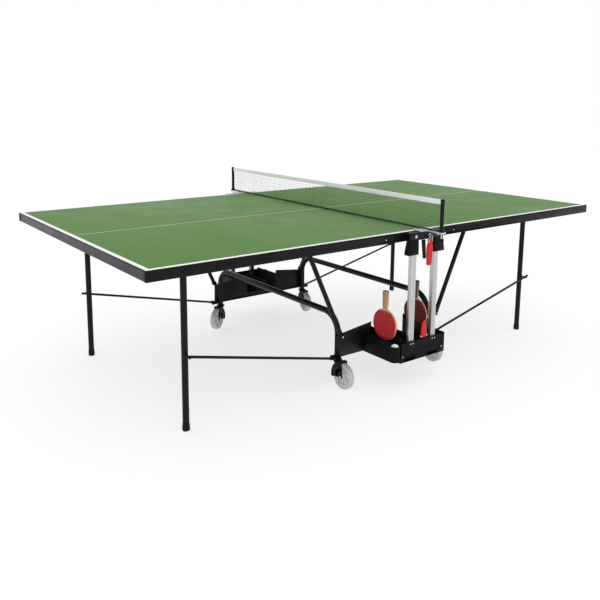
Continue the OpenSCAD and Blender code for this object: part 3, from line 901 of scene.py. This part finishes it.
def ball_tubes():
    """Ribbed moulded tubes that hold the balls, open at the top."""
    low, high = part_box("ball_tubes")
    radius, bore = BALL_TUBE_RADIUS, BALL_TUBE_BORE
    lip = radius + 0.6 * MM
    rim = [
        (bore, high.z - 6 * MM), (lip, high.z - 6 * MM), (lip, high.z - 1 * MM),
        (radius - 0.4 * MM, high.z), (bore, high.z),
    ]
    base = [
        (0, low.z), (radius - 1 * MM, low.z), (radius, low.z + 1 * MM),
        (radius, low.z + 3 * MM), (0, low.z + 3 * MM),
    ]
    points = BALL_TUBE_RIBS * 4
    bm = bmesh.new()
    for sign in (-1, 1):
        centre = (sign * (abs(low.x) - radius), sign * (abs(low.y) - radius))
        outer = []
        inner = []
        for k in range(points):
            turn = math.tau * k / points
            reach = radius - 0.2 * MM if k % 4 in (0, 1) else radius - 1.5 * MM
            outer.append(polar(reach, turn, centre))
            inner.append(polar(bore, turn, centre))
        frame_prism(bm, outer, inner, "z", low.z + 2 * MM, high.z - 2 * MM)
        place = Matrix.Translation((*centre, 0))
        lathe(bm, rim, place, 48)
        lathe(bm, base, place, 48)
    piece("ball_tubes_ribbed", bm, "chassis", "moulded_black", stands_for=("ball_tubes",))


def make_balls():
    """Balls with the faint weld seam of two halves."""
    low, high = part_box("balls")
    radius = (high.x - low.x) / 2
    middle = Vector(((low.x + high.x) / 2, (low.y + high.y) / 2, low.z))
    count = round((high.z - low.z) / (2 * radius))
    steps = 32
    profile = []
    for k in range(steps + 1):
        turn = math.pi * k / steps
        reach = radius - (BALL_SEAM if k == steps // 2 else 0)
        profile.append((reach * math.sin(turn), -reach * math.cos(turn)))
    bm = bmesh.new()
    for i in range(count):
        centre = middle + Vector((0, 0, radius * (2 * i + 1)))
        tip = Matrix.Translation(centre) @ Matrix.Rotation(0.5 + i, 4, "X")
        lathe(bm, profile, tip, 48)
    piece("balls_seamed", bm, "balls", "ball_white", stands_for=("balls",))


def bat_grip(bm, x, y, grip_low, top, sx):
    """One half of a grip: flat on the ply, round outside, and flared at its end."""
    steps = 14
    rings = []
    for k in range(steps + 1):
        share = k / steps
        z = grip_low + (top - grip_low) * share
        wide = GRIP_HALF + GRIP_FLARE * share**3 + GRIP_SWELL * math.sin(math.pi * share)
        thick = (3 + 6.5 * min(1, share * 5 + 0.15)) * MM
        ring = []
        for m in range(9):
            turn = math.pi * (m / 8 - 0.5)
            out = PLY_HALF + (thick - 0.5 * MM) * math.cos(turn) ** 0.7 + 0.01 * MM
            ring.append(bm.verts.new((x + sx * out, y + wide * math.sin(turn), z)))
        rings.append(ring)
    loft(bm, rings)


def bat(node, rubber, grip):
    """A bat standing blade down: ply blade, rubber on both faces, shaped grips."""
    low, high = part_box(node)
    x = (low.x + high.x) / 2
    y = (low.y + high.y) / 2
    radius = (high.y - low.y) / 2
    blade_z = low.z + radius
    top = high.z
    neck_z = blade_z + radius * 1.03
    neck_half, handle_half = 13.5 * MM, 12 * MM
    blade = arc((y, blade_z), radius, 90 + BLADE_GAP, 450 - BLADE_GAP, 56)
    neck = [
        (y + neck_half, neck_z), (y + handle_half, neck_z + 8 * MM),
        (y + handle_half, top - 2 * MM), (y - handle_half, top - 2 * MM),
        (y - handle_half, neck_z + 8 * MM), (y - neck_half, neck_z),
    ]
    bm = bmesh.new()
    prism(bm, blade + neck, "x", x - PLY_HALF, x + PLY_HALF)
    piece(f"{node}_blade", bm, node, "wood_pale", 0.6 * MM, stands_for=(node,))
    cover = arc((y, blade_z), radius - 1 * MM, 90 + RUBBER_GAP, 450 - RUBBER_GAP, 48)
    # The rubber ends by the grip in a shallow curve.
    cover += arc((y, blade_z - 0.9 * radius), 1.78 * radius, 74, 106, 8)[1:-1]
    bm = bmesh.new()
    prism(bm, cover, "x", x - PLY_HALF - RUBBER_THICK, x - PLY_HALF)
    prism(bm, cover, "x", x + PLY_HALF, x + PLY_HALF + RUBBER_THICK)
    piece(f"{node}_rubber", bm, node, rubber, 0.5 * MM)
    bm = bmesh.new()
    for sx in (-1, 1):
        bat_grip(bm, x, y, top - GRIP_LONG, top, sx)
    piece(f"{node}_grip", bm, node, grip, 0.6 * MM)


def front_plate(end, sy):
    """A moulded plate with a raised rim."""
    low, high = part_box(f"{end}_front_plate")
    corner, rim = 8 * MM, 5 * MM
    outer = round_box((low.x, low.z), (high.x, high.z), corner)
    inner = round_box(
        (low.x + rim, low.z + rim), (high.x - rim, high.z - rim), corner - rim + 1 * MM
    )
    face = low.y if sy < 0 else high.y
    bm = bmesh.new()
    prism(bm, outer, "y", low.y, high.y)
    frame_prism(bm, outer, inner, "y", face - sy * 0.1 * MM, face + sy * 1.6 * MM)
    piece(
        f"{end}_plate_rimmed", bm, "chassis", "moulded_black", 0.5 * MM,
        stands_for=(f"{end}_front_plate",),
    )


# ---- Levers -------------------------------------------------------------------

# At shares of a grip's height from its lower end: half its width in millimetres,
# and its share of the full thickness.
UPPER_GRIP = (
    (0.0, 10, 0.5), (0.015, 13, 0.75), (0.05, 16, 0.95), (0.2, 18, 1.0), (0.45, 19.2, 1.0),
    (0.65, 20, 1.0), (0.78, 16.5, 1.0), (0.87, 11, 0.95), (0.93, 8, 0.9), (0.985, 6.5, 0.8),
    (1.0, 5, 0.6),
)
LOWER_GRIP = (
    (0.0, 16, 0.8), (0.03, 17, 1.0), (0.2, 18.5, 1.0), (0.4, 19, 1.0), (0.65, 16.5, 1.0),
    (0.84, 12.5, 1.0), (0.94, 9, 0.95), (0.985, 6, 0.85), (1.0, 3.5, 0.6),
)
# The power that squares a round section off: 1 is round, 0 a rectangle.
GRIP_ROUND = 0.6


def lever(node, sections, thick):
    """A rounded red grip through sections of its height, half width and thickness."""
    low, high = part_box(node)
    x = (low.x + high.x) / 2
    y = (low.y + high.y) / 2
    tall = high.z - low.z
    bm = bmesh.new()
    rings = []
    for share, wide, deep in sections:
        z = low.z + tall * share
        ring = []
        for k in range(24):
            c, s = polar(1, math.tau * k / 24)
            across = math.copysign(abs(c) ** GRIP_ROUND, c)
            through = math.copysign(abs(s) ** GRIP_ROUND, s)
            ring.append(
                bm.verts.new((x + wide * MM * across, y + thick / 2 * deep * through, z))
            )
        rings.append(ring)
    loft(bm, rings)
    piece(f"{node}_grip", bm, node, "lever_red", stands_for=(node,))


def latch_arm():
    """The slanted black catch arm beside the upper lever."""
    low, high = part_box("upper_lever")
    y = (low.y + high.y) / 2 + 2 * MM
    top, bend, eye = 0.722, 0.642, 0.640
    outline = [
        (-38 * MM, top), (-16 * MM, top), (-8 * MM, bend), *arc((-17 * MM, eye), 9 * MM, 0, -180, 10),
    ]
    bm = bmesh.new()
    prism(bm, outline, "y", y - 3 * MM, y + 3 * MM)
    piece("latch_arm", bm, "chassis", "moulded_black", 0.8 * MM)


def lever_clip():
    """The bright loop over the top of the upper lever."""
    low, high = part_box("upper_lever")
    x = (low.x + high.x) / 2
    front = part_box("head_bridges")[0].y
    bottom, crown = 0.722, 0.738
    outside, inside = 8.5 * MM, 5.5 * MM
    outer = arc((x, crown), outside, 180, 0, 12)
    outer += [(x + outside, bottom), (x - outside, bottom)]
    inner = arc((x, crown), inside, 180, 0, 12)
    inner += [(x + inside, bottom + 0.5 * MM), (x - inside, bottom + 0.5 * MM)]
    bm = bmesh.new()
    frame_prism(bm, outer, inner, "y", front - 4 * MM, front)
    piece("lever_clip", bm, "chassis", "plated_steel", 0.4 * MM)


# ---- Link screws --------------------------------------------------------------

LINK_EYE_RADIUS = 13 * MM


def link_screw(side, end, sx, sy):
    """A silver screw in the eye at a link's foot."""
    low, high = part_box(f"{side}_{end}_link")
    face = high.y if sy > 0 else low.y
    foot_x = min(abs(low.x), abs(high.x)) + LINK_EYE_RADIUS
    at = Vector((sx * foot_x, face, low.z + LINK_EYE_RADIUS))
    bm = bmesh.new()
    screw_head(bm, at, "y", sy, 5.5 * MM, 2.2 * MM)
    piece(f"{side}_{end}_link_screw", bm, f"{side}_{end}_link", "plated_steel")


# ---- Building -----------------------------------------------------------------

MATERIALS = make_materials()
# CAD nodes given a lighter copy of their slot's paint: painted light, where their faces catch more of the lamps
# than the rest.
PAINTED_LIGHT_FINISH = {"end_rails": "rail_black_painted_light"}
# CAD nodes whose edges are rounded, with the size of the rounding in millimetres.
ROUNDED = {
    "board": 0.8, "side_rails": 1.0, "end_rails": 1.0, "glides": 1.0, "ribs": 0.6,
    "near_side_panel": 0.8, "far_side_panel": 0.8, "near_holder": 0.8, "far_holder": 0.8,
    "post_heads": 4.0, "head_bridges": 0.9, "lever_clevises": 0.5, "net_brackets": 0.6,
    "guide_posts": 0.4, "pivot_gussets": 0.8,
}

make_camera()
make_stage()

for node, part in frame["nodes"].items():
    kind = node.removeprefix("left_").removeprefix("right_")
    part.data.materials.clear()
    part.data.materials.append(MATERIALS[PAINTED_LIGHT_FINISH.get(kind, SLOT_OF[node])])
    crisp(part, ROUNDED.get(kind, 0) * MM)

for side, sx in SIDES:
    lines(side, sx)
    edge_band(side, sx)
    rail_screws(side, sx)
    corner_caps(side, sx)
    foot_caps(side)
    for end, sy in ENDS:
        wheel(f"{side}_{end}")
        fork(f"{side}_{end}")
        link_screw(side, end, sx, sy)
for end, sy in ENDS:
    front_plate(end, sy)

make_net_posts()
make_tape()
tape_stitches()
top_cord()
make_net()
bottom_cord()
net_clamps()
ball_tubes()
make_balls()
bat("bat_one", "bat_red", "wood_tan")
# The second bat takes darker copies of the rubber and the wood: painted shade.
bat("bat_two", "bat_red_painted_shade", "wood_painted_shade")
lever("upper_lever", UPPER_GRIP, 10 * MM)
lever("lower_lever", LOWER_GRIP, 8 * MM)
latch_arm()
lever_clip()
